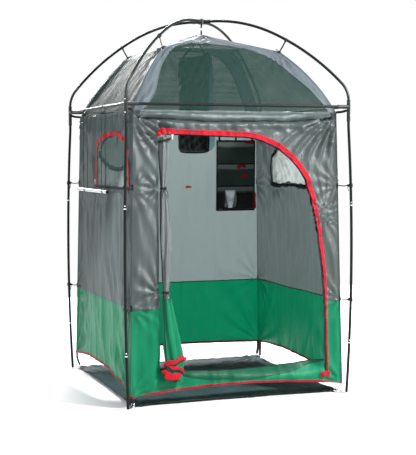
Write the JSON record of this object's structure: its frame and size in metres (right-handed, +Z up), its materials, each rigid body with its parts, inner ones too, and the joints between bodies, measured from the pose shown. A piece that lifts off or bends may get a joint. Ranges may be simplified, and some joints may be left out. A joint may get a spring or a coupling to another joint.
{
  "type": "privacy shower tent",
  "caption": "Free-standing pole-framed privacy shower tent with a mesh dome roof, zipped door, side windows, towel rail, organizer and hanging shower bag.",
  "frame": {"origin": "on the ground, at the centre of the footprint", "axes": "+Z up; the door faces -Y; left as seen from outside the door is -X"},
  "size_m": [1.372, 1.372, 2.21],
  "materials": {
    "pole_paint": "satin",
    "fitting_plastic": "matte",
    "button_steel": "polished",
    "ring_steel": "polished",
    "hook_steel": "satin",
    "webbing": "woven",
    "rail_tube": "satin",
    "rail_cap": "matte",
    "wall_cloth": "coated",
    "red_trim": "coated",
    "zip_metal": "polished",
    "window_mesh": "mesh",
    "roof_mesh": "mesh",
    "roof_cloth": "coated",
    "organizer_cloth": "woven",
    "bottle_white": "gloss",
    "toggle_red": "gloss",
    "bag_vinyl": "gloss",
    "floor_cloth": "coated"
  },
  "bodies": {
    "frame": {"arch_back_left": "pole_paint", "arch_back_right": "pole_paint", "arch_elbows": "pole_paint", "arch_front_left": "pole_paint", "arch_front_right": "pole_paint", "corner_fitting_back_left": "fitting_plastic", "corner_fitting_back_right": "fitting_plastic", "corner_fitting_front_left": "fitting_plastic", "corner_fitting_front_right": "fitting_plastic", "crown_hub": "fitting_plastic", "crown_ring": "ring_steel", "door_flap": "red_trim", "door_roll": "wall_cloth", "door_ties": "webbing", "floor_sheet": "floor_cloth", "foot_hooks": "hook_steel", "leg_lower_back_left": "pole_paint", "leg_lower_back_right": "pole_paint", "leg_lower_front_left": "pole_paint", "leg_lower_front_right": "pole_paint", "leg_middle_back_left": "pole_paint", "leg_middle_back_right": "pole_paint", "leg_middle_front_left": "pole_paint", "leg_middle_front_right": "pole_paint", "leg_upper_back_left": "pole_paint", "leg_upper_back_right": "pole_paint", "leg_upper_front_left": "pole_paint", "leg_upper_front_right": "pole_paint", "organizer": "organizer_cloth", "pole_ties": "webbing", "roof_hips": "roof_cloth", "roof_mesh": "roof_mesh", "roof_ties": "webbing", "top_bar_back": "pole_paint", "top_bar_front": "pole_paint", "top_bar_left": "pole_paint", "top_bar_right": "pole_paint", "wall_back": "wall_cloth", "wall_front": "wall_cloth", "wall_left": "wall_cloth", "wall_right": "wall_cloth", "wall_toggle": "toggle_red", "window_panels": "window_mesh"},
    "towel_rack": {"towel_bar": "rail_tube", "towel_bar_caps": "rail_cap", "towel_straps": "webbing"},
    "hanging_bag": {"shower_bag": "bag_vinyl", "bag_hanger": "webbing"},
    "door_zip_slider": {"door_slider": "zip_metal"},
    "left_window_slider": {"window_slider_left": "zip_metal"},
    "right_window_slider": {"window_slider_right": "zip_metal"},
    "bottle": {"soap_bottle": "bottle_white"},
    "leg_button_front_left": {"button_leg_front_left": "button_steel"},
    "arch_button_front_left": {"button_arch_front_left": "button_steel"},
    "leg_button_front_right": {"button_leg_front_right": "button_steel"},
    "arch_button_front_right": {"button_arch_front_right": "button_steel"},
    "leg_button_back_left": {"button_leg_back_left": "button_steel"},
    "arch_button_back_left": {"button_arch_back_left": "button_steel"},
    "leg_button_back_right": {"button_leg_back_right": "button_steel"},
    "arch_button_back_right": {"button_arch_back_right": "button_steel"}
  },
  "joints": [
    {"name": "towel_swing", "type": "hinge", "parent": "frame", "child": "towel_rack", "pos_m": [-0.662, 0.0905, 1.661], "axis": [0, 1, 0], "range_deg": [-3, 60]},
    {"name": "bag_swing", "type": "hinge", "parent": "frame", "child": "hanging_bag", "pos_m": [-0.03, 0, 2.09], "axis": [-0.1736, 0.9848, 0], "range_deg": [-12, 12]},
    {"name": "door_zip_slide", "type": "slide", "parent": "frame", "child": "door_zip_slider", "axis": [0.9995, -0.0007, -0.032], "range_m": [0, 0.4]},
    {"name": "left_window_zip", "type": "slide", "parent": "frame", "child": "left_window_slider", "axis": [0.0204, 0, 0.9998], "range_m": [0, 0.09]},
    {"name": "right_window_zip", "type": "slide", "parent": "frame", "child": "right_window_slider", "axis": [-0.0204, 0, 0.9998], "range_m": [0, 0.09]},
    {"name": "bottle_lift", "type": "slide", "parent": "frame", "child": "bottle", "axis": [0, -0.0204, 0.9998], "range_m": [0, 0.1]},
    {"name": "press_leg_button_front_left", "type": "slide", "parent": "frame", "child": "leg_button_front_left", "axis": [0.7071, 0.7071, 0], "range_m": [0, 0.0035], "stiffness_N_per_m": 600},
    {"name": "press_arch_button_front_left", "type": "slide", "parent": "frame", "child": "arch_button_front_left", "axis": [0.7071, 0.7071, 0], "range_m": [0, 0.0035], "stiffness_N_per_m": 600},
    {"name": "press_leg_button_front_right", "type": "slide", "parent": "frame", "child": "leg_button_front_right", "axis": [-0.7071, 0.7071, 0], "range_m": [0, 0.0035], "stiffness_N_per_m": 600},
    {"name": "press_arch_button_front_right", "type": "slide", "parent": "frame", "child": "arch_button_front_right", "axis": [-0.7071, 0.7071, 0], "range_m": [0, 0.0035], "stiffness_N_per_m": 600},
    {"name": "press_leg_button_back_left", "type": "slide", "parent": "frame", "child": "leg_button_back_left", "axis": [0.7071, -0.7071, 0], "range_m": [0, 0.0035], "stiffness_N_per_m": 600},
    {"name": "press_arch_button_back_left", "type": "slide", "parent": "frame", "child": "arch_button_back_left", "axis": [0.7071, -0.7071, 0], "range_m": [0, 0.0035], "stiffness_N_per_m": 600},
    {"name": "press_leg_button_back_right", "type": "slide", "parent": "frame", "child": "leg_button_back_right", "axis": [-0.7071, -0.7071, 0], "range_m": [0, 0.0035], "stiffness_N_per_m": 600},
    {"name": "press_arch_button_back_right", "type": "slide", "parent": "frame", "child": "arch_button_back_right", "axis": [-0.7071, -0.7071, 0], "range_m": [0, 0.0035], "stiffness_N_per_m": 600}
  ]
}
